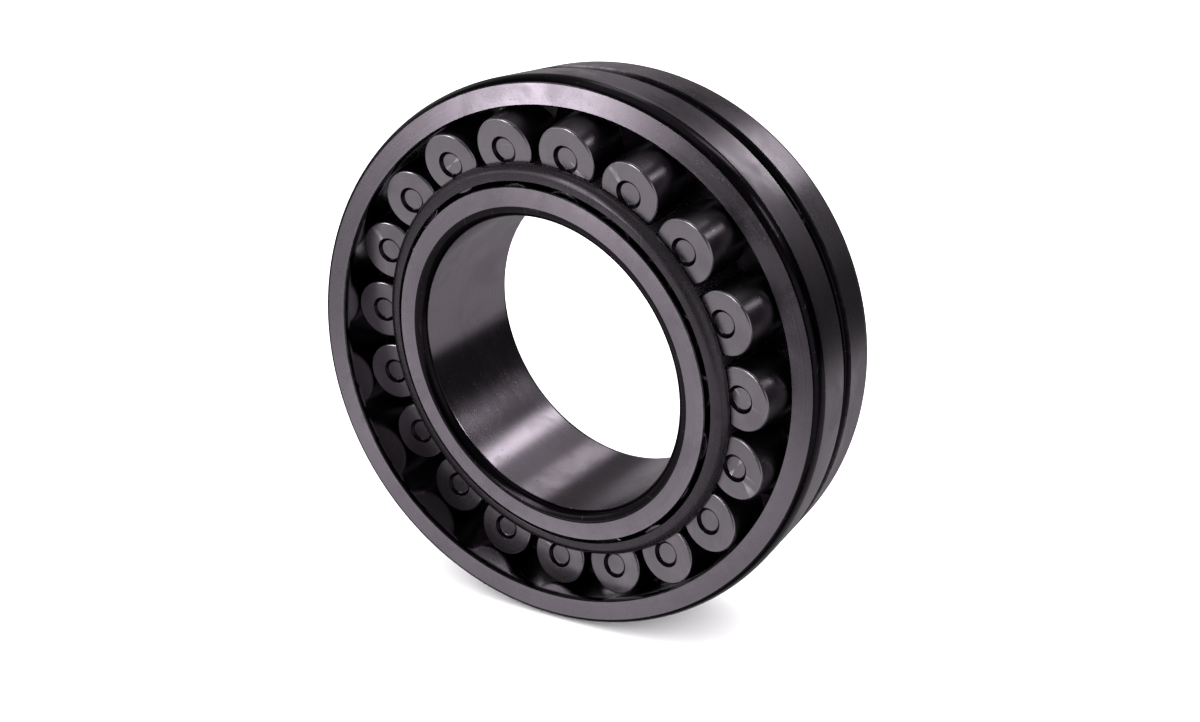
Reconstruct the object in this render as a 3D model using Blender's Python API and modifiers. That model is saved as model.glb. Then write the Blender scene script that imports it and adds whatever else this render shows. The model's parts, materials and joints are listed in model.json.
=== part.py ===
"""Spherical roller bearing, 100 mm bore, 180 mm outside diameter, 46 mm wide.

The outer ring stands upright with its axis along Y and its front face towards -Y. The inner ring,
the guide ring, the two cages and both rows of rollers are swivelled as one set about the centre of
the spherical raceway, which is the origin. Lengths are in metres, +Z is up.
"""

import math

import bmesh
import bpy
from mathutils import Matrix, Vector

MM = 0.001

# Boundary dimensions
BORE_RADIUS = 50.0 * MM
OUTSIDE_RADIUS = 90.0 * MM
HALF_WIDTH = 23.0 * MM

# Pose of the inner set against the outer ring
SWIVEL = math.radians(9.0)
LEAN_TOWARDS = math.radians(221.6)

# Running gap between a roller and either raceway, and between loose neighbours
GAP = 0.3 * MM

# Outer ring
RACEWAY_RADIUS = 83.5 * MM
OUTER_FACE_INNER_RADIUS = 80.9 * MM
OUTER_CORNER_RADIAL = 2.5 * MM
OUTER_CORNER_AXIAL = 5.8 * MM
RACEWAY_EDGE_HEIGHT = 21.3 * MM
GROOVE_HALF_WIDTH = 3.5 * MM
GROOVE_DEPTH = 1.8 * MM
GROOVE_WALL_SLOPE = 0.6 * MM
OIL_HOLE_RADIUS = 2.25 * MM
OIL_HOLES = 3
OIL_HOLE_PHASE = math.radians(35.0)

# Rollers
ROLLERS = 19
ROLLER_RADIUS = 10.5 * MM
ROLLER_LENGTH = 16.0 * MM
ROLLER_EDGE = 0.7 * MM
RECESS_RADIUS = 4.4 * MM
RECESS_DEPTH = 0.9 * MM
CONTACT_ANGLE = math.radians(9.5)
FRONT_ROW_PHASE = math.radians(3.8)

# Inner ring
INNER_FACE_OUTER_RADIUS = 59.6 * MM
INNER_SHOULDER_RADIUS = 59.9 * MM
INNER_SHOULDER_EDGE = 0.4 * MM
INNER_CORNER_RADIAL = 3.7 * MM
INNER_CORNER_AXIAL = 3.0 * MM
INNER_LAND_HALF_WIDTH = 2.3 * MM

# Guide ring
GUIDE_INNER_RADIUS = 63.1 * MM
GUIDE_OUTER_RADIUS = 66.8 * MM
GUIDE_INNER_HALF_WIDTH = 2.1 * MM
GUIDE_OUTER_HALF_WIDTH = 2.6 * MM

# Cages, each pressed from sheet: a cone between the rollers with a flange turned in over their ends
CAGE_SHEET = 1.8 * MM
CAGE_RIM_RADIUS = 69.5 * MM
CAGE_RIM_HEIGHT = 0.3 * MM
CAGE_SHOULDER_RADIUS = 66.6 * MM
CAGE_FACE_HEIGHT = 22.2 * MM
CAGE_FLANGE_INNER_RADIUS = 61.4 * MM
CAGE_BEND = 3.4 * MM
CAGE_INSIDE_BEND = CAGE_BEND - CAGE_SHEET

# How finely round shapes are cut
RING_STEPS = 72
INNER_RING_STEPS = 64
CAGE_STEPS = 4 * ROLLERS
ROLLER_STEPS = 12
POCKET_STEPS = 12
CORNER_STEPS = 2
RACEWAY_STEPS = 6
INNER_RACEWAY_STEPS = 4
BARREL_STEPS = 1
HOLE_STEPS = 12
SHARP_ANGLE = math.radians(35.0)

# The rollers touch a sphere a running gap inside the outer raceway
ROLLING_SPHERE = RACEWAY_RADIUS - GAP
ROLLER_DISTANCE = ROLLING_SPHERE - ROLLER_RADIUS
ROLLER_PITCH_RADIUS = ROLLER_DISTANCE * math.cos(CONTACT_ANGLE)
ROLLER_HEIGHT = ROLLER_DISTANCE * math.sin(CONTACT_ANGLE)
ROLLER_SPACING = 2 * math.pi / ROLLERS

# Every ring is turned about its own Z, and this turns that Z towards the front
UPRIGHT = Matrix.Rotation(math.pi / 2, 4, "X")


def clear_scene():
    for obj in list(bpy.data.objects):
        bpy.data.objects.remove(obj, do_unlink=True)


def make_collection(name):
    collection = bpy.data.collections.new(name)
    bpy.context.scene.collection.children.link(collection)
    return collection


def make_material(name, colour, roughness):
    material = bpy.data.materials.new(name)
    material.use_nodes = True
    shader = material.node_tree.nodes["Principled BSDF"]
    shader.inputs["Base Color"].default_value = (*colour, 1.0)
    shader.inputs["Roughness"].default_value = roughness
    shader.inputs["Metallic"].default_value = 1.0
    material.diffuse_color = (*colour, 1.0)
    return material


def corner(radius, height, radial, axial, start, end):
    """Points of a quarter-ellipse corner about (radius, height), from angle start to angle end."""
    points = []
    for step in range(CORNER_STEPS + 1):
        angle = start + (end - start) * step / CORNER_STEPS
        points.append((radius + radial * math.cos(angle), height + axial * math.sin(angle)))
    return points


def mirrored(points):
    """The same outline below the middle plane, in reverse order."""
    return [(radius, -height) for radius, height in reversed(points)]


def turned_mesh(name, outline, steps, closed=True):
    """Mesh turned about Z from an outline of (radius, height) points that runs down its outer side."""
    profile = bpy.data.meshes.new("profile")
    points = [(radius, 0.0, height) for radius, height in outline]
    edges = [(index, index + 1) for index in range(len(outline) - 1)]
    if closed:
        edges.append((len(outline) - 1, 0))
    profile.from_pydata(points, edges, [])
    lathe = bpy.data.objects.new("lathe", profile)
    bpy.context.scene.collection.objects.link(lathe)
    screw = lathe.modifiers.new("Turn", "SCREW")
    screw.steps = steps
    screw.render_steps = steps
    screw.use_merge_vertices = True
    screw.merge_threshold = 0.00001
    graph = bpy.context.evaluated_depsgraph_get()
    mesh = bpy.data.meshes.new_from_object(lathe.evaluated_get(graph))
    mesh.name = name
    bpy.data.objects.remove(lathe)
    bpy.data.meshes.remove(profile)
    mesh.shade_smooth()
    mesh.set_sharp_from_angle(angle=SHARP_ANGLE)
    return mesh


def add_part(name, mesh, collection, parent, matrix):
    obj = bpy.data.objects.new(name, mesh)
    collection.objects.link(obj)
    obj.parent = parent
    obj.matrix_local = matrix
    return obj


def outer_ring_outline():
    """Closed outline of the outer ring, starting at the top of its outside and running down."""
    top_corner = corner(
        OUTSIDE_RADIUS - OUTER_CORNER_RADIAL,
        HALF_WIDTH - OUTER_CORNER_AXIAL,
        OUTER_CORNER_RADIAL,
        OUTER_CORNER_AXIAL,
        math.pi / 2,
        0.0,
    )
    floor_radius = OUTSIDE_RADIUS - GROOVE_DEPTH
    groove_top = [
        (OUTSIDE_RADIUS, GROOVE_HALF_WIDTH),
        (floor_radius, GROOVE_HALF_WIDTH - GROOVE_WALL_SLOPE),
    ]
    outside = top_corner + groove_top
    outside += mirrored(outside)
    edge_angle = math.asin(RACEWAY_EDGE_HEIGHT / RACEWAY_RADIUS)
    raceway = []
    for step in range(RACEWAY_STEPS + 1):
        angle = -edge_angle + 2 * edge_angle * step / RACEWAY_STEPS
        raceway.append((RACEWAY_RADIUS * math.cos(angle), RACEWAY_RADIUS * math.sin(angle)))
    bottom_face = [(OUTER_FACE_INNER_RADIUS, -HALF_WIDTH)]
    top_face = [(OUTER_FACE_INNER_RADIUS, HALF_WIDTH)]
    return outside + bottom_face + raceway + top_face


def inner_raceway():
    """Raceway of the upper row, from its outboard edge down to the middle land."""
    bottom = ROLLER_DISTANCE - ROLLER_RADIUS - GAP
    centre = bottom + RACEWAY_RADIUS
    half_angle = math.asin((ROLLER_LENGTH / 2 + GAP) / RACEWAY_RADIUS)
    points = []
    for step in range(INNER_RACEWAY_STEPS + 1):
        angle = CONTACT_ANGLE - half_angle + 2 * half_angle * step / INNER_RACEWAY_STEPS
        radius = centre * math.cos(CONTACT_ANGLE) - RACEWAY_RADIUS * math.cos(angle)
        height = centre * math.sin(CONTACT_ANGLE) - RACEWAY_RADIUS * math.sin(angle)
        points.append((radius, height))
    return points


def inner_ring_outline():
    """Closed outline of the inner ring, starting at its top face and running down the outside."""
    raceway = inner_raceway()
    shoulder = [
        (INNER_FACE_OUTER_RADIUS, HALF_WIDTH),
        (INNER_SHOULDER_RADIUS, HALF_WIDTH - INNER_SHOULDER_EDGE),
    ]
    land_radius = raceway[-1][0]
    upper = shoulder + raceway[:-1] + [(land_radius, INNER_LAND_HALF_WIDTH)]
    bottom_corner = corner(
        BORE_RADIUS + INNER_CORNER_RADIAL,
        -HALF_WIDTH + INNER_CORNER_AXIAL,
        INNER_CORNER_RADIAL,
        INNER_CORNER_AXIAL,
        -math.pi / 2,
        -math.pi,
    )
    return upper + mirrored(upper) + bottom_corner + mirrored(bottom_corner)


def guide_ring_outline():
    return [
        (GUIDE_OUTER_RADIUS, GUIDE_OUTER_HALF_WIDTH),
        (GUIDE_OUTER_RADIUS, -GUIDE_OUTER_HALF_WIDTH),
        (GUIDE_INNER_RADIUS, -GUIDE_INNER_HALF_WIDTH),
        (GUIDE_INNER_RADIUS, GUIDE_INNER_HALF_WIDTH),
    ]


def cage_outline():
    """Closed outline of one cage: flange, bend, cone and rim, then back along the inside."""
    bend_radius = CAGE_SHOULDER_RADIUS - CAGE_BEND
    bend_height = CAGE_FACE_HEIGHT - CAGE_BEND
    outside_bend = corner(bend_radius, bend_height, CAGE_BEND, CAGE_BEND, math.pi / 2, 0.0)
    inside_bend = corner(
        bend_radius, bend_height, CAGE_INSIDE_BEND, CAGE_INSIDE_BEND, 0.0, math.pi / 2
    )
    flange_top = (CAGE_FLANGE_INNER_RADIUS, CAGE_FACE_HEIGHT)
    flange_back = (CAGE_FLANGE_INNER_RADIUS, CAGE_FACE_HEIGHT - CAGE_SHEET)
    rim = [(CAGE_RIM_RADIUS, CAGE_RIM_HEIGHT), (CAGE_RIM_RADIUS - CAGE_SHEET, CAGE_RIM_HEIGHT)]
    return [flange_top] + outside_bend + rim + inside_bend + [flange_back]


def barrel_points(extra, steps):
    """Side of a roller from its top to its bottom, grown outwards by extra all round."""
    half = ROLLER_LENGTH / 2 - ROLLER_EDGE + extra
    points = []
    for step in range(2 * steps + 1):
        height = half * (1 - step / steps)
        sink = ROLLING_SPHERE - math.sqrt(ROLLING_SPHERE**2 - height**2)
        points.append((ROLLER_RADIUS + extra - sink, height))
    return points


def roller_outline():
    """Half outline of a roller, from the centre of its recessed end round to its other end."""
    side = barrel_points(0.0, BARREL_STEPS)
    end_radius = side[0][0] - ROLLER_EDGE
    top = ROLLER_LENGTH / 2
    recess = [(0.0, top - RECESS_DEPTH), (RECESS_RADIUS - RECESS_DEPTH, top - RECESS_DEPTH)]
    return recess + [(RECESS_RADIUS, top), (end_radius, top)] + side + [(end_radius, -top), (0.0, -top)]


def pocket_outline():
    """Half outline of the space that one roller needs, a gap larger than the roller."""
    side = barrel_points(GAP, BARREL_STEPS)
    widen = 1 / math.cos(math.pi / POCKET_STEPS)
    side = [(radius * widen, height) for radius, height in side]
    end = ROLLER_LENGTH / 2 + GAP
    return [(0.0, end), (side[0][0], end)] + side[1:-1] + [(side[-1][0], -end), (0.0, -end)]


def roller_place(side, index):
    """Place of a roller in the inner set: side is +1 for the front row and -1 for the rear row."""
    half_pitch = 0.0 if side > 0 else ROLLER_SPACING / 2
    around = FRONT_ROW_PHASE + half_pitch + index * ROLLER_SPACING
    tip = -CONTACT_ANGLE if side > 0 else math.pi + CONTACT_ANGLE
    centre = Vector((ROLLER_PITCH_RADIUS, 0.0, side * ROLLER_HEIGHT))
    return (
        Matrix.Rotation(around, 4, "Z")
        @ Matrix.Translation(centre)
        @ Matrix.Rotation(tip, 4, "Y")
    )


def add_cutter(name, mesh, collection, parent, matrix):
    cutter = add_part(name, mesh, collection, parent, matrix)
    cutter.hide_render = True
    cutter.display_type = "WIRE"


def cut(obj, cutters):
    """Takes every cutter of a collection out of obj."""
    boolean = obj.modifiers.new("Cut", "BOOLEAN")
    boolean.operation = "DIFFERENCE"
    boolean.operand_type = "COLLECTION"
    boolean.collection = cutters


def oil_hole_mesh():
    mesh = bpy.data.meshes.new("oil_hole")
    shape = bmesh.new()
    bmesh.ops.create_cone(
        shape,
        cap_ends=True,
        segments=HOLE_STEPS,
        radius1=OIL_HOLE_RADIUS,
        radius2=OIL_HOLE_RADIUS,
        depth=OUTSIDE_RADIUS - RACEWAY_RADIUS + 2 * OIL_HOLE_RADIUS,
    )
    shape.to_mesh(mesh)
    shape.free()
    return mesh


def build_outer_ring(parent, parts, steel):
    mesh = turned_mesh("outer_ring", outer_ring_outline(), RING_STEPS)
    mesh.materials.append(steel)
    ring = add_part("outer_ring", mesh, parts, parent, Matrix.Identity(4))
    cutters = make_collection("oil_hole_cutters")
    hole = oil_hole_mesh()
    wall_middle = Matrix.Translation(((OUTSIDE_RADIUS + RACEWAY_RADIUS) / 2, 0.0, 0.0))
    for index in range(OIL_HOLES):
        around = Matrix.Rotation(OIL_HOLE_PHASE + index * 2 * math.pi / OIL_HOLES, 4, "Z")
        through_wall = around @ wall_middle @ Matrix.Rotation(math.pi / 2, 4, "Y")
        add_cutter(f"oil_hole_cutter_{index + 1}", hole, cutters, parent, through_wall)
    cut(ring, cutters)


def build_plain_ring(name, outline, parent, parts, steel):
    mesh = turned_mesh(name, outline, INNER_RING_STEPS)
    mesh.materials.append(steel)
    add_part(name, mesh, parts, parent, Matrix.Identity(4))


def build_cage(row, side, parent, parts, sheet_steel):
    """One window cage; the rear one is the same pressing turned over."""
    mesh = turned_mesh(f"cage_{row}", cage_outline(), CAGE_STEPS)
    mesh.materials.append(sheet_steel)
    turned_over = Matrix.Rotation(0.0 if side > 0 else math.pi, 4, "X")
    cage = add_part(f"cage_{row}", mesh, parts, parent, turned_over)
    cutters = make_collection(f"pocket_cutters_{row}")
    pocket = turned_mesh(f"pocket_{row}", pocket_outline(), POCKET_STEPS, closed=False)
    for index in range(ROLLERS):
        name = f"pocket_cutter_{row}_{index + 1:02d}"
        add_cutter(name, pocket, cutters, parent, roller_place(side, index))
    cut(cage, cutters)


def build_rollers(row, side, parent, parts, mesh):
    for index in range(ROLLERS):
        name = f"roller_{row}_{index + 1:02d}"
        add_part(name, mesh, parts, parent, roller_place(side, index))


def main():
    clear_scene()
    parts = make_collection("spherical_roller_bearing")
    ground_steel = make_material("ground_steel", (0.42, 0.41, 0.42), 0.32)
    roller_steel = make_material("roller_steel", (0.36, 0.35, 0.36), 0.28)
    sheet_steel = make_material("sheet_steel", (0.12, 0.12, 0.12), 0.45)

    bearing_axis = add_part("bearing_axis", None, parts, None, UPRIGHT)
    swivel_axis = Vector((-math.sin(LEAN_TOWARDS), math.cos(LEAN_TOWARDS), 0.0))
    swivelled = Matrix.Rotation(SWIVEL, 4, swivel_axis)
    inner_set = add_part("inner_set", None, parts, bearing_axis, swivelled)

    build_outer_ring(bearing_axis, parts, ground_steel)
    build_plain_ring("inner_ring", inner_ring_outline(), inner_set, parts, ground_steel)
    build_plain_ring("guide_ring", guide_ring_outline(), inner_set, parts, ground_steel)
    roller = turned_mesh("roller", roller_outline(), ROLLER_STEPS, closed=False)
    roller.materials.append(roller_steel)
    for row, side in (("front", 1), ("rear", -1)):
        build_cage(row, side, inner_set, parts, sheet_steel)
        build_rollers(row, side, inner_set, parts, roller)


main()
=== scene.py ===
"""Spherical roller bearing, standing on its outer ring with its inner set swivelled.

The rings, cages and rollers are turned and cut again here with their fine edges, and they ride on
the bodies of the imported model. Lengths are in metres and angles in degrees unless a name says
otherwise. Each turned shape is drawn with its axis along Z and its recessed or front end up.
"""

import json
import math

import bpy
import numpy as np
from mathutils import Matrix, Vector


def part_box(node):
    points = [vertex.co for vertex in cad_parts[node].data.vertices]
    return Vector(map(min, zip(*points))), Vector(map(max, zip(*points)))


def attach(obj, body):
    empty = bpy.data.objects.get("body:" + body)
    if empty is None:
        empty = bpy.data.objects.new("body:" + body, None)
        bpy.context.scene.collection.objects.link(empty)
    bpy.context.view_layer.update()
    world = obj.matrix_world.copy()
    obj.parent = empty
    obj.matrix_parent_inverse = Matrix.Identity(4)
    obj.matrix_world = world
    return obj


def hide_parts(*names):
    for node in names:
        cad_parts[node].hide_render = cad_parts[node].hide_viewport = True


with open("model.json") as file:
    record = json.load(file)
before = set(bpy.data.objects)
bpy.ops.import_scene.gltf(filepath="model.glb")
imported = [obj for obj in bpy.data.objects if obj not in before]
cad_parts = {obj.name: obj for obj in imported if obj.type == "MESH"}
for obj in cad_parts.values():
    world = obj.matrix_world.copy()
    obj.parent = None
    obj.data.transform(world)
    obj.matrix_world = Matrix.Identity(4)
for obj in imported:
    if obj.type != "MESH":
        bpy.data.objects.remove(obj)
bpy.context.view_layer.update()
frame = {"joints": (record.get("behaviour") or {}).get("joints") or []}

MM = 0.001
JOINTS = {joint["name"]: joint for joint in frame["joints"]}
FRONT = Vector((0.0, -1.0, 0.0))

# Boundary sizes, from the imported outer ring
OUTSIDE_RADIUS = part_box("outer_ring")[1].x
HALF_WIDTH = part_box("outer_ring")[1].y

# Outer ring
RACEWAY_RADIUS = 83.5 * MM
OUTER_FACE_INNER_RADIUS = 80.9 * MM
OUTER_CORNER_RADIAL = 2.5 * MM
OUTER_CORNER_AXIAL = 5.8 * MM
OUTER_FACE_EDGE = 0.35 * MM
RACEWAY_EDGE_HEIGHT = 21.3 * MM
GROOVE_HALF_WIDTH = 3.5 * MM
GROOVE_DEPTH = 1.8 * MM
GROOVE_WALL_SLOPE = 0.6 * MM
GROOVE_FILLET = 0.5 * MM
OIL_HOLE_RADIUS = 2.25 * MM
OIL_HOLE_COUNTERSINK = 0.6 * MM
OIL_HOLES = 3
OIL_HOLE_PHASE = 35.0

# Rollers
ROLLERS = 19
ROLLER_RADIUS = 10.5 * MM
ROLLER_LENGTH = 16.0 * MM
ROLLER_EDGE = 0.7 * MM
RECESS_RADIUS = 4.4 * MM
RECESS_DEPTH = 0.9 * MM
RECESS_FLOOR_FILLET = 0.35 * MM
RECESS_RIM_FILLET = 0.12 * MM
CONTACT_ANGLE = 9.5
GAP = 0.3 * MM

# Inner ring
BORE_RADIUS = 50.0 * MM
INNER_FACE_OUTER_RADIUS = 59.6 * MM
INNER_SHOULDER_RADIUS = 59.9 * MM
INNER_SHOULDER_EDGE = 0.4 * MM
INNER_SHOULDER_HEIGHT = 2.4 * MM
INNER_CORNER_RADIAL = 3.7 * MM
INNER_CORNER_AXIAL = 3.0 * MM
INNER_LAND_HALF_WIDTH = 2.3 * MM

# Guide ring
GUIDE_INNER_RADIUS = 63.1 * MM
GUIDE_OUTER_RADIUS = 66.8 * MM
GUIDE_INNER_HALF_WIDTH = 2.1 * MM
GUIDE_OUTER_HALF_WIDTH = 2.6 * MM
GUIDE_EDGE = 0.3 * MM

# Cages
CAGE_SHEET = 1.8 * MM
CAGE_RIM_RADIUS = 69.5 * MM
CAGE_RIM_HEIGHT = 0.3 * MM
CAGE_SHOULDER_RADIUS = 66.6 * MM
CAGE_FACE_HEIGHT = 22.2 * MM
CAGE_FLANGE_INNER_RADIUS = 61.4 * MM
CAGE_BEND = 3.4 * MM
CAGE_INSIDE_BEND = CAGE_BEND - CAGE_SHEET
CAGE_EDGE = 0.25 * MM

# How finely round shapes are cut
RING_STEPS = 256
CAGE_STEPS = 12 * ROLLERS
ROLLER_STEPS = 64
POCKET_STEPS = 72
CORNER_STEPS = 10
RACEWAY_STEPS = 28
BARREL_STEPS = 10
FILLET_STEPS = 4
ROUND_OVER_STEPS = 6
HOLE_STEPS = 32
SMOOTH_ANGLE = math.radians(32.0)
WELD = 0.000001

# How nearly along or across the axis a face must look, and how near its radius must be, for a finish
FLAT = 0.99
ROLLER_END_FLAT = 0.97
ROLLER_ROUNDING_SLOPE = 0.2
BAND_TOLERANCE = 0.1 * MM
RACEWAY_TOLERANCE = 0.05 * MM

ROLLING_SPHERE = RACEWAY_RADIUS - GAP
ROLLER_DISTANCE = ROLLING_SPHERE - ROLLER_RADIUS

# Every ring is turned about Z, and this turns that Z to the front
UPRIGHT = Matrix.Rotation(math.pi / 2, 4, "X")
SET_FRONT = Vector(JOINTS["inner_ring_spin"]["axis"])
SWIVELLED = FRONT.rotation_difference(SET_FRONT).to_matrix().to_4x4() @ UPRIGHT


# ---------------------------------------------------------------- modelling


def nothing_selected():
    if bpy.context.mode != "OBJECT":
        bpy.ops.object.mode_set(mode="OBJECT")
    bpy.ops.object.select_all(action="DESELECT")


def only_selected(obj):
    nothing_selected()
    obj.select_set(True)
    bpy.context.view_layer.objects.active = obj


def arc(centre, radii, start, end, steps):
    """Points (radius, height) of an elliptical arc, with its angles in degrees."""
    points = []
    for step in range(steps + 1):
        angle = math.radians(start + (end - start) * step / steps)
        points.append(
            (centre[0] + radii[0] * math.cos(angle), centre[1] + radii[1] * math.sin(angle))
        )
    return points


def mirrored(points):
    """The same outline below the middle plane, in reverse order."""
    return [(radius, -height) for radius, height in reversed(points)]


def rounded(points, fillets):
    """The outline with a fillet of the given size cut into each corner that fillets names."""
    result = []
    for index, point in enumerate(points):
        size = fillets.get(index, 0.0)
        if not size:
            result.append(point)
            continue
        here = Vector(point)
        before = (Vector(points[index - 1]) - here).normalized() * size + here
        after = (Vector(points[(index + 1) % len(points)]) - here).normalized() * size + here
        for step in range(FILLET_STEPS + 1):
            share = step / FILLET_STEPS
            curve = (1 - share) ** 2 * before + 2 * share * (1 - share) * here + share**2 * after
            result.append((curve.x, curve.y))
    return result


def turn_on_lathe(name, outline, steps, closed=True):
    """Draws the outline of (radius, height) by extruding a point, and spins it round Z."""
    nothing_selected()
    first = (outline[0][0], 0.0, outline[0][1])
    bpy.ops.mesh.primitive_plane_add(size=MM, location=first)
    obj = bpy.context.object
    obj.name = name
    bpy.ops.object.transform_apply(location=True, rotation=True, scale=True)
    bpy.ops.object.mode_set(mode="EDIT")
    bpy.ops.mesh.merge(type="CENTER")
    path = outline[1:] + ([outline[0]] if closed else [])
    place = Vector(first)
    for radius, height in path:
        reach = Vector((radius, 0.0, height)) - place
        bpy.ops.mesh.extrude_region_move(TRANSFORM_OT_translate={"value": reach})
        place += reach
    bpy.ops.mesh.select_all(action="SELECT")
    bpy.ops.mesh.remove_doubles(threshold=WELD)
    bpy.ops.mesh.spin(steps=steps, angle=2 * math.pi, center=(0, 0, 0), axis=(0, 0, 1))
    bpy.ops.mesh.select_all(action="SELECT")
    bpy.ops.mesh.remove_doubles(threshold=WELD)
    bpy.ops.mesh.normals_make_consistent(inside=False)
    bpy.ops.object.mode_set(mode="OBJECT")
    return obj


def copies_around(cutter, count):
    """One object made of count copies of the cutter, spaced evenly round Z."""
    copies = []
    for index in range(count):
        only_selected(cutter)
        bpy.ops.object.duplicate()
        copy = bpy.context.object
        copy.matrix_world = Matrix.Rotation(index * 2 * math.pi / count, 4, "Z") @ copy.matrix_world
        bpy.ops.object.transform_apply(location=True, rotation=True, scale=True)
        copies.append(copy)
    bpy.data.objects.remove(cutter)
    nothing_selected()
    for copy in copies:
        copy.select_set(True)
    bpy.context.view_layer.objects.active = copies[0]
    bpy.ops.object.join()
    return copies[0]


def cut_out(obj, cutter):
    cut = obj.modifiers.new("cut", "BOOLEAN")
    cut.operation = "DIFFERENCE"
    cut.solver = "EXACT"
    cut.object = cutter
    only_selected(obj)
    bpy.ops.object.modifier_apply(modifier=cut.name)
    bpy.data.objects.remove(cutter)


def finish_shading(obj):
    """Smooth between fine steps, sharp at real edges, and flat where a face is flat."""
    only_selected(obj)
    bpy.ops.object.shade_smooth_by_angle(angle=SMOOTH_ANGLE)
    weigh = obj.modifiers.new("flat_faces_stay_flat", "WEIGHTED_NORMAL")
    weigh.keep_sharp = True
    bpy.ops.object.modifier_apply(modifier=weigh.name)


def zone_faces(obj, materials, zone_of):
    """Gives each face the material whose index zone_of(radius, height, outward, upward) returns."""
    for material in materials:
        obj.data.materials.append(material)
    for polygon in obj.data.polygons:
        centre = polygon.center
        radius = math.hypot(centre.x, centre.y)
        outward = 0.0
        if radius > WELD:
            outward = (polygon.normal.x * centre.x + polygon.normal.y * centre.y) / radius
        polygon.material_index = zone_of(radius, centre.z, outward, polygon.normal.z)


def place_piece(obj, place, number):
    """Stores the place of each point on the turned shape, then puts the piece where it belongs."""
    mesh = obj.data
    points = np.empty(len(mesh.vertices) * 3, np.float32)
    mesh.vertices.foreach_get("co", points)
    points = points.reshape(-1, 3)
    turned_place = mesh.attributes.new("turned_place", "FLOAT_VECTOR", "POINT")
    turned_place.data.foreach_set("vector", (points / MM).ravel())
    around = np.stack([-points[:, 1], points[:, 0], 0 * points[:, 0]], axis=1)
    length = np.linalg.norm(around, axis=1, keepdims=True)
    around = np.where(length > WELD, around / np.maximum(length, WELD), (0.0, 1.0, 0.0))
    around = around @ np.array(place.to_3x3()).T
    round_way = mesh.attributes.new("round_way", "FLOAT_VECTOR", "POINT")
    round_way.data.foreach_set("vector", around.astype(np.float32).ravel())
    piece_number = mesh.attributes.new("piece_number", "FLOAT", "POINT")
    piece_number.data.foreach_set("value", np.full(len(points), float(number), np.float32))
    obj.matrix_world = place
    only_selected(obj)
    bpy.ops.object.transform_apply(location=True, rotation=True, scale=True)


def fit_piece(obj, node):
    """Lets the piece ride on the body of its node, which it stands for."""
    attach(obj, node)
    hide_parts(node)


# ---------------------------------------------------------------- shader groups


def new_group(name, inputs, outputs):
    group = bpy.data.node_groups.new(name, "ShaderNodeTree")
    for socket, kind in inputs:
        group.interface.new_socket(socket, in_out="INPUT", socket_type=f"NodeSocket{kind}")
    for socket, kind in outputs:
        group.interface.new_socket(socket, in_out="OUTPUT", socket_type=f"NodeSocket{kind}")
    enter = group.nodes.new("NodeGroupInput")
    leave = group.nodes.new("NodeGroupOutput")
    return group, enter.outputs, leave.inputs


def wire(tree, source, target):
    """Links a socket to target, or sets the target's own value."""
    if isinstance(source, bpy.types.NodeSocket):
        tree.links.new(source, target)
    else:
        target.default_value = source


def math_node(tree, operation, first, second=0.0, clamp=False):
    node = tree.nodes.new("ShaderNodeMath")
    node.operation = operation
    node.use_clamp = clamp
    wire(tree, first, node.inputs[0])
    wire(tree, second, node.inputs[1])
    return node.outputs[0]


def vector_node(tree, operation, first, second, output="Vector"):
    node = tree.nodes.new("ShaderNodeVectorMath")
    node.operation = operation
    wire(tree, first, node.inputs[0])
    wire(tree, second, node.inputs[1])
    return node.outputs[output]


def remap(tree, value, low, high, to_low, to_high, smooth=False):
    node = tree.nodes.new("ShaderNodeMapRange")
    node.interpolation_type = "SMOOTHSTEP" if smooth else "LINEAR"
    for socket, source in zip(node.inputs, (value, low, high, to_low, to_high)):
        wire(tree, source, socket)
    return node.outputs["Result"]


def mix_colours(tree, share, first, second):
    node = tree.nodes.new("ShaderNodeMix")
    node.data_type = "RGBA"
    wire(tree, share, node.inputs["Factor"])
    wire(tree, first, node.inputs["A"])
    wire(tree, second, node.inputs["B"])
    return node.outputs["Result"]


def noise_4d(tree, vector, w, scale, detail, roughness, distortion=0.0):
    node = tree.nodes.new("ShaderNodeTexNoise")
    node.noise_dimensions = "4D"
    wire(tree, vector, node.inputs["Vector"])
    wire(tree, w, node.inputs["W"])
    wire(tree, scale, node.inputs["Scale"])
    wire(tree, detail, node.inputs["Detail"])
    wire(tree, roughness, node.inputs["Roughness"])
    wire(tree, distortion, node.inputs["Distortion"])
    return node.outputs["Fac"]


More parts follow.
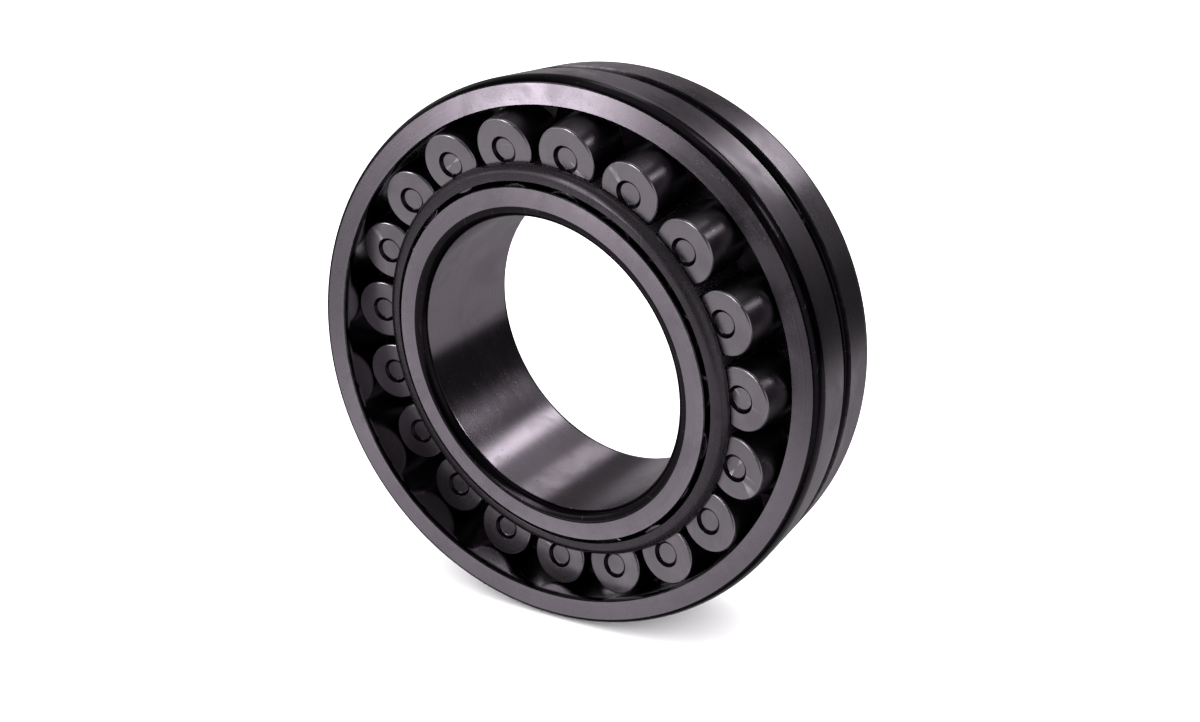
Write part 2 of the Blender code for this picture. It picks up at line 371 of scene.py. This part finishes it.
def make_grinding_lines():
    """Fine lines that run round the axis, on faces and on cylinders alike."""
    inputs = [
        ("Place", "Vector"),
        ("Lines per mm", "Float"),
        ("Wander", "Float"),
        ("Number", "Float"),
    ]
    group, enter, leave = new_group("grinding_lines", inputs, [("Lines", "Float")])
    split = group.nodes.new("ShaderNodeSeparateXYZ")
    group.links.new(enter["Place"], split.inputs[0])
    flat = group.nodes.new("ShaderNodeCombineXYZ")
    group.links.new(split.outputs["X"], flat.inputs["X"])
    group.links.new(split.outputs["Y"], flat.inputs["Y"])
    radius = vector_node(group, "LENGTH", flat.outputs[0], (0.0, 0.0, 0.0), "Value")
    unit = vector_node(group, "NORMALIZE", flat.outputs[0], (0.0, 0.0, 0.0))
    unit_split = group.nodes.new("ShaderNodeSeparateXYZ")
    group.links.new(unit, unit_split.inputs[0])
    stack = group.nodes.new("ShaderNodeCombineXYZ")
    outwards = math_node(group, "MULTIPLY", radius, enter["Lines per mm"])
    wire(group, outwards, stack.inputs["X"])
    upwards = math_node(group, "MULTIPLY", split.outputs["Z"], enter["Lines per mm"])
    wire(group, upwards, stack.inputs["Y"])
    forwards = math_node(group, "MULTIPLY", unit_split.outputs["X"], enter["Wander"])
    wire(group, forwards, stack.inputs["Z"])
    sideways = math_node(group, "MULTIPLY", unit_split.outputs["Y"], enter["Wander"])
    w = math_node(group, "ADD", sideways, enter["Number"])
    wire(group, noise_4d(group, stack.outputs[0], w, 1.0, 3.0, 0.65), leave["Lines"])
    return group


def make_handling_marks():
    """Soft uneven patches, as oil film and handling leave on bare steel."""
    inputs = [("Place", "Vector"), ("Patch per mm", "Float"), ("Number", "Float")]
    outputs = [("Patches", "Float"), ("Specks", "Float")]
    group, enter, leave = new_group("handling_marks", inputs, outputs)
    cloud = noise_4d(group, enter["Place"], enter["Number"], enter["Patch per mm"], 5.0, 0.6, 0.8)
    wire(group, remap(group, cloud, 0.42, 0.66, 0.0, 1.0, smooth=True), leave["Patches"])
    fine = math_node(group, "MULTIPLY", enter["Patch per mm"], 14.0)
    specks = noise_4d(group, enter["Place"], enter["Number"], fine, 2.0, 0.5)
    wire(group, remap(group, specks, 0.66, 0.74, 0.0, 1.0), leave["Specks"])
    return group


def make_fine_scratches():
    """Short thin scratches in two slanting directions."""
    inputs = [("Place", "Vector"), ("Number", "Float")]
    group, enter, leave = new_group("fine_scratches", inputs, [("Scratches", "Float")])
    found = []
    for turn, stretch in ((28.0, (0.09, 2.6, 0.5)), (-63.0, (2.2, 0.08, 0.4))):
        lay = group.nodes.new("ShaderNodeMapping")
        angle = math.radians(turn)
        lay.inputs["Rotation"].default_value = (angle, angle / 2, angle)
        lay.inputs["Scale"].default_value = stretch
        group.links.new(enter["Place"], lay.inputs["Vector"])
        streak = noise_4d(group, lay.outputs[0], enter["Number"], 1.0, 1.0, 0.4)
        found.append(remap(group, streak, 0.70, 0.73, 0.0, 1.0))
    wire(group, math_node(group, "MAXIMUM", found[0], found[1]), leave["Scratches"])
    return group


def make_rubbed_edges():
    """Edges that handling and tumbling have brightened."""
    inputs = [("Place", "Vector"), ("Number", "Float")]
    group, enter, leave = new_group("rubbed_edges", inputs, [("Rubbed", "Float")])
    geometry = group.nodes.new("ShaderNodeNewGeometry")
    edge = remap(group, geometry.outputs["Pointiness"], 0.52, 0.60, 0.0, 1.0, smooth=True)
    broken = noise_4d(group, enter["Place"], enter["Number"], 0.35, 3.0, 0.6)
    kept = remap(group, broken, 0.35, 0.60, 0.35, 1.0, smooth=True)
    wire(group, math_node(group, "MULTIPLY", edge, kept), leave["Rubbed"])
    return group


GROUPS = {
    "lines": make_grinding_lines(),
    "marks": make_handling_marks(),
    "scratches": make_fine_scratches(),
    "edges": make_rubbed_edges(),
}


# ---------------------------------------------------------------- materials


def place_group(tree, key, place, number, **values):
    node = tree.nodes.new("ShaderNodeGroup")
    node.node_tree = GROUPS[key]
    tree.links.new(place, node.inputs["Place"])
    tree.links.new(number, node.inputs["Number"])
    for name, value in values.items():
        node.inputs[name.replace("_", " ")].default_value = value
    return node


# Shares of the finish's own colour, and how much each mark changes colour, roughness or height
DARK_SHARE = 0.78
LIGHT_SHARE = 1.12
STAINED_SHARE = 0.55
WORN_SHARE = 1.35
SCRATCH_COLOUR = 0.18
SCRATCH_HEIGHT = 0.25
PATCH_ROUGHNESS = 0.08
SPECK_ROUGHNESS = 0.12
RUBBED_SMOOTHING = 0.3
LINE_WANDER = 0.6


def make_steel(name, colour, roughness, lines_per_mm, line_depth, grain, metallic=1.0, stain=0.25,
               edge_colour=None, patch_per_mm=0.05):
    """Bare steel with lines round its axis. grain is how much the lines stretch its highlights."""
    material = bpy.data.materials.new(name)
    material.use_nodes = True
    tree = material.node_tree
    shader = tree.nodes["Principled BSDF"]
    place = tree.nodes.new("ShaderNodeAttribute")
    place.attribute_name = "turned_place"
    number = tree.nodes.new("ShaderNodeAttribute")
    number.attribute_name = "piece_number"
    where = place.outputs["Vector"]
    which = number.outputs["Fac"]
    lines = place_group(tree, "lines", where, which, Lines_per_mm=lines_per_mm, Wander=LINE_WANDER)
    marks = place_group(tree, "marks", where, which, Patch_per_mm=patch_per_mm)
    scratches = place_group(tree, "scratches", where, which)
    edges = place_group(tree, "edges", where, which)

    dark = tuple(DARK_SHARE * part for part in colour) + (1.0,)
    light = tuple(min(1.0, LIGHT_SHARE * part) for part in colour) + (1.0,)
    stained = tuple(STAINED_SHARE * part for part in colour) + (1.0,)
    worn = (edge_colour or tuple(min(1.0, WORN_SHARE * part) for part in colour)) + (1.0,)
    base = mix_colours(tree, lines.outputs["Lines"], dark, light)
    patch = math_node(tree, "MULTIPLY", marks.outputs["Patches"], stain)
    base = mix_colours(tree, patch, base, stained)
    scratch = math_node(tree, "MULTIPLY", scratches.outputs["Scratches"], SCRATCH_COLOUR)
    base = mix_colours(tree, scratch, base, worn)
    base = mix_colours(tree, edges.outputs["Rubbed"], base, worn)
    wire(tree, base, shader.inputs["Base Color"])

    rough = remap(tree, lines.outputs["Lines"], 0.2, 0.8, roughness * 0.85, roughness * 1.15)
    patches = math_node(tree, "MULTIPLY", marks.outputs["Patches"], PATCH_ROUGHNESS)
    rough = math_node(tree, "ADD", rough, patches)
    specks = math_node(tree, "MULTIPLY", marks.outputs["Specks"], SPECK_ROUGHNESS)
    rough = math_node(tree, "ADD", rough, specks)
    rubbed = math_node(tree, "MULTIPLY", edges.outputs["Rubbed"], RUBBED_SMOOTHING * roughness)
    wire(tree, math_node(tree, "SUBTRACT", rough, rubbed, clamp=True), shader.inputs["Roughness"])
    shader.inputs["Metallic"].default_value = metallic

    bump = tree.nodes.new("ShaderNodeBump")
    bump.inputs["Strength"].default_value = 1.0
    bump.inputs["Distance"].default_value = line_depth
    cut = math_node(tree, "MULTIPLY", scratches.outputs["Scratches"], SCRATCH_HEIGHT)
    height = math_node(tree, "SUBTRACT", lines.outputs["Lines"], cut)
    wire(tree, height, bump.inputs["Height"])
    tree.links.new(bump.outputs["Normal"], shader.inputs["Normal"])

    if grain:
        around = tree.nodes.new("ShaderNodeAttribute")
        around.attribute_name = "round_way"
        to_world = tree.nodes.new("ShaderNodeVectorTransform")
        to_world.vector_type = "VECTOR"
        to_world.convert_from = "OBJECT"
        to_world.convert_to = "WORLD"
        tree.links.new(around.outputs["Vector"], to_world.inputs["Vector"])
        tree.links.new(to_world.outputs["Vector"], shader.inputs["Tangent"])
        shader.inputs["Anisotropic"].default_value = grain
        shader.inputs["Anisotropic Rotation"].default_value = 0.25
    return material


GROUND_STEEL = (0.45, 0.396, 0.456)
# The near-black below is the blackened finish of turned corners, chamfers, the groove and the middle
# land; on the rollers' recess walls it is painted shade.
DARK_STEEL_AND_RECESS_SHADE = (0.032, 0.027, 0.033)
BRIGHT_EDGE = (0.75, 0.73, 0.75)
ground_face = make_steel("ground_face", GROUND_STEEL, 0.24, 3.0, 0.000004, 0.6)
ground_band = make_steel("ground_band", GROUND_STEEL, 0.28, 3.0, 0.000004, 0.7)
ground_bore = make_steel("ground_bore", GROUND_STEEL, 0.19, 3.0, 0.000003, 0.5)
# Where this material lines the rollers' recess walls, its near-black colour is painted shade in the
# recess.
dark_turned_and_recess_shade = make_steel("dark_turned_and_recess_shade", DARK_STEEL_AND_RECESS_SHADE, 0.15, 1.6, 0.000008, 0.2,
                         edge_colour=(0.4, 0.39, 0.4))
honed_raceway = make_steel("honed_raceway", (0.36, 0.33, 0.365), 0.12, 4.0, 0.000001, 0.3)
roller_end = make_steel("roller_end", (0.42, 0.38, 0.425), 0.28, 2.5, 0.000004, 0.15,
                        edge_colour=BRIGHT_EDGE)
roller_side = make_steel("roller_side", (0.19, 0.172, 0.195), 0.30, 3.5, 0.000002, 0.35,
                         edge_colour=BRIGHT_EDGE)
roller_rounding = make_steel("roller_rounding", (0.62, 0.58, 0.63), 0.22, 3.5, 0.000001, 0.2)
cage_sheet = make_steel("cage_sheet", (0.105, 0.092, 0.107), 0.22, 0.8, 0.000008, 0.2, metallic=0.91,
                        edge_colour=(0.36, 0.35, 0.36), patch_per_mm=0.12)
guide_steel = make_steel("guide_steel", (0.22, 0.21, 0.22), 0.34, 2.0, 0.000006, 0.3)


# ---------------------------------------------------------------- outer ring


def outer_ring_outline():
    corner_place = (OUTSIDE_RADIUS - OUTER_CORNER_RADIAL, HALF_WIDTH - OUTER_CORNER_AXIAL)
    corner = arc(corner_place, (OUTER_CORNER_RADIAL, OUTER_CORNER_AXIAL), 90.0, 0.0, CORNER_STEPS)
    floor_radius = OUTSIDE_RADIUS - GROOVE_DEPTH
    floor_half = GROOVE_HALF_WIDTH - GROOVE_WALL_SLOPE
    groove = [
        (OUTSIDE_RADIUS, GROOVE_HALF_WIDTH),
        (floor_radius, floor_half),
        (floor_radius, -floor_half),
        (OUTSIDE_RADIUS, -GROOVE_HALF_WIDTH),
    ]
    groove = rounded(groove, {1: GROOVE_FILLET, 2: GROOVE_FILLET})
    edge_angle = math.degrees(math.asin(RACEWAY_EDGE_HEIGHT / RACEWAY_RADIUS))
    raceway = arc((0.0, 0.0), (RACEWAY_RADIUS, RACEWAY_RADIUS), -edge_angle, edge_angle, RACEWAY_STEPS)
    face_edge = [
        (OUTER_FACE_INNER_RADIUS + OUTER_FACE_EDGE, HALF_WIDTH),
        (OUTER_FACE_INNER_RADIUS, HALF_WIDTH - OUTER_FACE_EDGE),
    ]
    return corner + groove + mirrored(corner) + mirrored(face_edge)[::-1] + raceway + face_edge[::-1]


def outer_ring_zone(radius, height, outward, upward):
    """0 ground face, 1 ground band, 2 dark corner or groove, 3 honed raceway."""
    if abs(upward) > FLAT and radius < OUTSIDE_RADIUS - OUTER_CORNER_RADIAL:
        return 0
    if outward > FLAT and radius > OUTSIDE_RADIUS - BAND_TOLERANCE:
        return 1
    in_raceway = abs(height) < RACEWAY_EDGE_HEIGHT and radius < RACEWAY_RADIUS + RACEWAY_TOLERANCE
    if outward < 0 and in_raceway:
        return 3
    return 2


def make_outer_ring():
    ring = turn_on_lathe("outer_ring_turned", outer_ring_outline(), RING_STEPS)
    floor = OUTSIDE_RADIUS - GROOVE_DEPTH
    drill = turn_on_lathe("drill", [
        (0.0, OUTSIDE_RADIUS + OIL_HOLE_RADIUS),
        (OIL_HOLE_RADIUS + OIL_HOLE_COUNTERSINK, OUTSIDE_RADIUS + OIL_HOLE_RADIUS),
        (OIL_HOLE_RADIUS + OIL_HOLE_COUNTERSINK, floor),
        (OIL_HOLE_RADIUS, floor - OIL_HOLE_COUNTERSINK),
        (OIL_HOLE_RADIUS, RACEWAY_RADIUS - 2 * OIL_HOLE_RADIUS),
        (0.0, RACEWAY_RADIUS - 2 * OIL_HOLE_RADIUS),
    ], HOLE_STEPS, closed=False)
    laid_down = Matrix.Rotation(math.pi / 2, 4, "Y")
    drill.matrix_world = Matrix.Rotation(math.radians(OIL_HOLE_PHASE), 4, "Z") @ laid_down
    cut_out(ring, copies_around(drill, OIL_HOLES))
    zone_faces(ring, [ground_face, ground_band, dark_turned_and_recess_shade, honed_raceway], outer_ring_zone)
    finish_shading(ring)
    place_piece(ring, UPRIGHT, 1)
    fit_piece(ring, "outer_ring")


# ---------------------------------------------------------------- inner ring


def inner_raceway():
    """Raceway of the upper row, from its outboard edge down to the middle land."""
    bottom = ROLLER_DISTANCE - ROLLER_RADIUS - GAP
    reach = math.degrees(math.asin((ROLLER_LENGTH / 2 + GAP) / RACEWAY_RADIUS))
    tilt = math.radians(CONTACT_ANGLE)
    centre = ((bottom + RACEWAY_RADIUS) * math.cos(tilt), (bottom + RACEWAY_RADIUS) * math.sin(tilt))
    start = 180.0 + CONTACT_ANGLE - reach
    return arc(centre, (RACEWAY_RADIUS, RACEWAY_RADIUS), start, start + 2 * reach, RACEWAY_STEPS // 2)


def inner_ring_outline():
    raceway = inner_raceway()
    shoulder = [
        (INNER_FACE_OUTER_RADIUS, HALF_WIDTH),
        (INNER_SHOULDER_RADIUS, HALF_WIDTH - INNER_SHOULDER_EDGE),
    ]
    land_radius = raceway[-1][0]
    upper = shoulder + raceway[:-1] + [(land_radius, INNER_LAND_HALF_WIDTH)]
    corner_place = (BORE_RADIUS + INNER_CORNER_RADIAL, -HALF_WIDTH + INNER_CORNER_AXIAL)
    corner = arc(corner_place, (INNER_CORNER_RADIAL, INNER_CORNER_AXIAL), 270.0, 180.0, CORNER_STEPS)
    return upper + mirrored(upper) + corner + mirrored(corner)


def inner_ring_zone(radius, height, outward, upward):
    """0 ground face, 1 ground bore, 2 dark corner or land, 3 honed raceway."""
    if abs(upward) > FLAT and radius > BORE_RADIUS + INNER_CORNER_RADIAL:
        return 0
    if outward < -FLAT:
        return 1
    if outward > 0 and INNER_LAND_HALF_WIDTH < abs(height) < HALF_WIDTH - INNER_SHOULDER_HEIGHT:
        return 3
    return 2


def make_inner_ring():
    ring = turn_on_lathe("inner_ring_turned", inner_ring_outline(), RING_STEPS)
    zone_faces(ring, [ground_face, ground_bore, dark_turned_and_recess_shade, honed_raceway], inner_ring_zone)
    finish_shading(ring)
    place_piece(ring, SWIVELLED, 2)
    fit_piece(ring, "inner_ring")


def make_guide_ring():
    outline = [
        (GUIDE_OUTER_RADIUS, GUIDE_OUTER_HALF_WIDTH),
        (GUIDE_OUTER_RADIUS, -GUIDE_OUTER_HALF_WIDTH),
        (GUIDE_INNER_RADIUS, -GUIDE_INNER_HALF_WIDTH),
        (GUIDE_INNER_RADIUS, GUIDE_INNER_HALF_WIDTH),
    ]
    outline = rounded(outline, {index: GUIDE_EDGE for index in range(len(outline))})
    ring = turn_on_lathe("guide_ring_turned", outline, RING_STEPS)
    zone_faces(ring, [guide_steel], lambda radius, height, outward, upward: 0)
    finish_shading(ring)
    place_piece(ring, SWIVELLED, 3)
    fit_piece(ring, "guide_ring")


# ---------------------------------------------------------------- rollers


def barrel_side(extra, steps):
    """Side of a roller from top to bottom, grown outwards by extra all round."""
    half = ROLLER_LENGTH / 2 - ROLLER_EDGE + extra
    points = []
    for step in range(2 * steps + 1):
        height = half * (1 - step / steps)
        sink = ROLLING_SPHERE - math.sqrt(ROLLING_SPHERE**2 - height**2)
        points.append((ROLLER_RADIUS + extra - sink, height))
    return points


def roller_outline():
    side = barrel_side(0.0, BARREL_STEPS)
    end_radius = side[0][0] - ROLLER_EDGE
    top = ROLLER_LENGTH / 2
    edge_place = (end_radius, top - ROLLER_EDGE)
    round_over = arc(edge_place, (ROLLER_EDGE, ROLLER_EDGE), 90.0, 0.0, ROUND_OVER_STEPS)
    dish = [
        (0.0, top - RECESS_DEPTH),
        (RECESS_RADIUS - RECESS_DEPTH, top - RECESS_DEPTH),
        (RECESS_RADIUS, top),
    ]
    fillets = {1: RECESS_FLOOR_FILLET, 2: RECESS_RIM_FILLET}
    dish = rounded(dish + [round_over[0]], fillets)[:-1]
    return dish + round_over + side[1:-1] + mirrored(round_over) + [(0.0, -top)]


def roller_zone(radius, height, outward, upward):
    """0 ground end, 1 honed barrel, 2 polished rounding, 3 dark turned steel, which on the recess wall
    is painted shade.
    """
    if radius < RECESS_RADIUS + BAND_TOLERANCE:
        # The recess wall takes the near-black turned steel as painted shade in the recess.
        return 0 if abs(upward) > FLAT else 3
    if abs(upward) > ROLLER_END_FLAT:
        return 0
    return 2 if abs(upward) > ROLLER_ROUNDING_SLOPE else 1


def roller_place(node, turned_over):
    joint = JOINTS[f"{node}_spin"]
    axis = Vector(joint["axis"])
    up = -axis if turned_over else axis
    return Matrix.Translation(joint["pos_m"]) @ up.to_track_quat("Z", "Y").to_matrix().to_4x4()


# Each roller's marks differ, because each has its own number
FIRST_ROLLER_NUMBER = 10
ROLLER_NUMBER_STEP = 3.7
REAR_ROW_NUMBER = 91.0


def make_rollers():
    pattern = turn_on_lathe("roller_pattern", roller_outline(), ROLLER_STEPS, closed=False)
    zone_faces(pattern, [roller_end, roller_side, roller_rounding, dark_turned_and_recess_shade], roller_zone)
    finish_shading(pattern)
    for row, turned_over in (("front", False), ("rear", True)):
        for index in range(ROLLERS):
            node = f"roller_{row}_{index + 1:02d}"
            only_selected(pattern)
            bpy.ops.object.duplicate()
            roller = bpy.context.object
            roller.name = f"{node}_ground"
            number = FIRST_ROLLER_NUMBER + ROLLER_NUMBER_STEP * index + REAR_ROW_NUMBER * turned_over
            place_piece(roller, roller_place(node, turned_over), number)
            fit_piece(roller, node)
    bpy.data.objects.remove(pattern)


# ---------------------------------------------------------------- cages


def cage_outline():
    bend_place = (CAGE_SHOULDER_RADIUS - CAGE_BEND, CAGE_FACE_HEIGHT - CAGE_BEND)
    outside_bend = arc(bend_place, (CAGE_BEND, CAGE_BEND), 90.0, 0.0, CORNER_STEPS)
    inside_bend = arc(bend_place, (CAGE_INSIDE_BEND, CAGE_INSIDE_BEND), 0.0, 90.0, CORNER_STEPS)
    rim = [(CAGE_RIM_RADIUS, CAGE_RIM_HEIGHT), (CAGE_RIM_RADIUS - CAGE_SHEET, CAGE_RIM_HEIGHT)]
    flange_top = (CAGE_FLANGE_INNER_RADIUS, CAGE_FACE_HEIGHT)
    flange_back = (CAGE_FLANGE_INNER_RADIUS, CAGE_FACE_HEIGHT - CAGE_SHEET)
    outline = [flange_top] + outside_bend + rim + inside_bend + [flange_back]
    at_rim = 1 + len(outside_bend)
    sharp = (0, at_rim, at_rim + 1, len(outline) - 1)
    return rounded(outline, {index: CAGE_EDGE for index in sharp})


def pocket_outline():
    side = barrel_side(GAP, BARREL_STEPS)
    end = ROLLER_LENGTH / 2 + GAP
    return [(0.0, end), (side[0][0], end)] + side[1:-1] + [(side[-1][0], -end), (0.0, -end)]


def make_cage(row, turned_over, number):
    cage = turn_on_lathe(f"cage_{row}_pressed", cage_outline(), CAGE_STEPS)
    pocket = turn_on_lathe("pocket_tool", pocket_outline(), POCKET_STEPS, closed=False)
    first = roller_place(f"roller_{row}_01", turned_over)
    flip = Matrix.Rotation(math.pi if turned_over else 0.0, 4, "X")
    cage_place = SWIVELLED @ flip
    pocket.matrix_world = cage_place.inverted() @ first
    cut_out(cage, copies_around(pocket, ROLLERS))
    zone_faces(cage, [cage_sheet], lambda radius, height, outward, upward: 0)
    finish_shading(cage)
    place_piece(cage, cage_place, number)
    fit_piece(cage, f"cage_{row}")


# ---------------------------------------------------------------- studio


def direction(azimuth, elevation):
    """Unit vector; azimuth 0 is the front, 90 the right, and elevation is up from level."""
    a = math.radians(azimuth)
    e = math.radians(elevation)
    return Vector((math.sin(a) * math.cos(e), -math.cos(a) * math.cos(e), math.sin(e)))


# A direction counts as in front of a softbox only if it is at least this much towards it
LEAST_AHEAD = 0.001


def make_softbox_group():
    """How much a rectangular softbox covers a direction, with soft edges."""
    inputs = [
        ("Direction", "Vector"), ("Towards", "Vector"), ("Right", "Vector"), ("Up", "Vector"),
        ("Half Width", "Float"), ("Half Height", "Float"), ("Softness", "Float"),
    ]
    group, enter, leave = new_group("softbox", inputs, [("Cover", "Float")])
    ahead = vector_node(group, "DOT_PRODUCT", enter["Direction"], enter["Towards"], "Value")
    safe = math_node(group, "MAXIMUM", ahead, LEAST_AHEAD)
    covers = []
    for side, half in (("Right", "Half Width"), ("Up", "Half Height")):
        along = vector_node(group, "DOT_PRODUCT", enter["Direction"], enter[side], "Value")
        tangent = math_node(group, "ABSOLUTE", math_node(group, "DIVIDE", along, safe))
        inner = math_node(group, "SUBTRACT", enter[half], enter["Softness"])
        outer = math_node(group, "ADD", enter[half], enter["Softness"])
        covers.append(remap(group, tangent, inner, outer, 1.0, 0.0, smooth=True))
    cover = math_node(group, "MULTIPLY", covers[0], covers[1])
    in_front = math_node(group, "GREATER_THAN", ahead, LEAST_AHEAD)
    wire(group, math_node(group, "MULTIPLY", cover, in_front), leave["Cover"])
    return group


# azimuth, elevation, roll, half width, half height, softness, level
SOFTBOXES = (
    ("ceiling", 180.0, 88.0, 0.0, 24.0, 24.0, 7.0, 0.34),
    ("right_wall", 62.0, -8.0, 0.0, 30.0, 30.0, 8.0, 0.32),
    ("left_far_wall", -105.0, 8.0, 0.0, 26.0, 24.0, 8.0, 0.34),
    ("low_left_wall", -62.0, -41.0, 0.0, 46.0, 17.0, 5.0, 0.52),
    ("left_wall", -60.0, -8.0, 0.0, 30.0, 14.0, 6.0, 0.30),
    ("low_middle_wall", -26.0, -29.0, 0.0, 14.0, 9.0, 3.0, 0.47),
    ("low_front_wall", -8.0, -40.0, 0.0, 28.0, 18.0, 5.0, 0.40),
    ("low_back_wall", 180.0, -43.0, 0.0, 60.0, 30.0, 8.0, 0.29),
    ("left_back_wall", -125.0, -12.0, 0.0, 40.0, 22.0, 8.0, 0.24),
    ("upper_right_back_wall", 141.0, 36.0, 0.0, 14.0, 8.0, 5.0, 0.13),
    ("right_back_flag", 125.0, 7.5, 0.0, 25.0, 16.0, 4.0, 0.015),
    ("back_flag", 153.0, -5.0, 0.0, 10.0, 9.0, 4.0, 0.015),
    ("rear_left_flag", -166.0, 24.0, 0.0, 6.0, 7.0, 3.0, 0.02),
    ("front_flag", -10.0, -4.0, 0.0, 18.0, 17.0, 3.0, 0.02),
    ("left_high_wall", -52.0, 10.0, 0.0, 16.0, 6.0, 4.0, 0.9),
    ("front_strip", -30.8, 10.0, 0.0, 4.0, 18.0, 2.0, 4.6),
    ("low_left_lamp", -45.0, -21.8, 0.0, 2.2, 3.0, 1.8, 1.5),
    ("high_back_strip", 151.5, 50.0, 0.0, 4.2, 9.0, 2.0, 2.3),
    ("back_strip", 171.5, 22.0, -25.0, 4.2, 7.0, 2.5, 2.2),
    ("high_back_wall", 174.0, 55.0, 0.0, 8.0, 7.0, 4.0, 0.32),
    ("high_rear_left_strip", -161.0, 46.0, 0.0, 6.5, 9.0, 3.0, 0.85),
    ("rear_left_wall", -150.0, 8.0, 0.0, 7.0, 8.0, 4.0, 0.5),
    ("right_lamp", 112.0, 38.0, 0.0, 3.5, 5.0, 2.0, 6.0),
)
ROOM_LEVEL = 0.08
ROOM_FILL = 2.6
STUDIO_TINT = (1.0, 0.985, 1.0, 1.0)
FLOOR_SIZE = 12.0

CAMERA_AZIMUTH = 28.52
CAMERA_ELEVATION = 18.8
CAMERA_DISTANCE = 0.438
CAMERA_ASIDE = 0.0053
CAMERA_LOWERED = 0.0052
CAMERA_LENS = 39.9


def make_world():
    world = bpy.data.worlds.new("studio")
    bpy.context.scene.world = world
    world.use_nodes = True
    tree = world.node_tree
    background = tree.nodes["Background"]
    coordinates = tree.nodes.new("ShaderNodeTexCoord")
    softbox = make_softbox_group()
    level = ROOM_LEVEL
    for name, azimuth, elevation, roll, half_width, half_height, softness, brightness in SOFTBOXES:
        node = tree.nodes.new("ShaderNodeGroup")
        node.node_tree = softbox
        node.label = name
        towards = direction(azimuth, elevation)
        rolled = Matrix.Rotation(math.radians(roll), 3, towards)
        right = rolled @ direction(azimuth + 90.0, 0.0)
        tree.links.new(coordinates.outputs["Generated"], node.inputs["Direction"])
        node.inputs["Towards"].default_value = towards
        node.inputs["Right"].default_value = right
        node.inputs["Up"].default_value = right.cross(towards)
        node.inputs["Half Width"].default_value = math.tan(math.radians(half_width))
        node.inputs["Half Height"].default_value = math.tan(math.radians(half_height))
        node.inputs["Softness"].default_value = math.tan(math.radians(softness))
        level = remap(tree, node.outputs["Cover"], 0.0, 1.0, level, brightness)
    light_path = tree.nodes.new("ShaderNodeLightPath")
    level = remap(tree, light_path.outputs["Is Diffuse Ray"], 0.0, 1.0, level, ROOM_FILL)
    seen = remap(tree, light_path.outputs["Is Camera Ray"], 0.0, 1.0, level, 1.0)
    wire(tree, seen, background.inputs["Strength"])
    background.inputs["Color"].default_value = STUDIO_TINT


def make_floor():
    nothing_selected()
    bpy.ops.mesh.primitive_plane_add(size=FLOOR_SIZE, location=(0.0, 0.0, -OUTSIDE_RADIUS))
    floor = bpy.context.object
    floor.name = "floor"
    floor.visible_glossy = False
    material = bpy.data.materials.new("pale_floor")
    material.use_nodes = True
    shader = material.node_tree.nodes["Principled BSDF"]
    shader.inputs["Base Color"].default_value = (0.9, 0.9, 0.9, 1.0)
    shader.inputs["Roughness"].default_value = 1.0
    shader.inputs["Specular IOR Level"].default_value = 0.0
    floor.data.materials.append(material)


def make_lights():
    """A broad weak lamp that shows in no reflection, so the steel mirrors only the softboxes."""
    lamp = bpy.data.lights.new("broad_lamp", "SUN")
    lamp.energy = 0.2
    lamp.angle = math.radians(60.0)
    obj = bpy.data.objects.new("broad_lamp", lamp)
    bpy.context.scene.collection.objects.link(obj)
    obj.rotation_euler = (math.radians(12.0), math.radians(-14.0), 0.0)
    obj.visible_glossy = False


def make_camera():
    back = direction(CAMERA_AZIMUTH, CAMERA_ELEVATION)
    right = direction(CAMERA_AZIMUTH + 90.0, 0.0)
    up = back.cross(right)
    camera = bpy.data.cameras.new("camera")
    camera.lens = CAMERA_LENS
    camera.sensor_width = 36.0
    camera.sensor_fit = "HORIZONTAL"
    camera.clip_start = 0.01
    obj = bpy.data.objects.new("camera", camera)
    bpy.context.scene.collection.objects.link(obj)
    turn = Matrix((right, up, back)).transposed().to_4x4()
    place = CAMERA_DISTANCE * back + CAMERA_ASIDE * right - CAMERA_LOWERED * up
    obj.matrix_world = Matrix.Translation(place) @ turn
    bpy.context.scene.camera = obj


make_outer_ring()
make_inner_ring()
make_guide_ring()
make_cage("front", False, 4)
make_cage("rear", True, 5)
make_rollers()
make_world()
make_floor()
make_lights()
make_camera()
bpy.context.scene.view_settings.view_transform = "Standard"
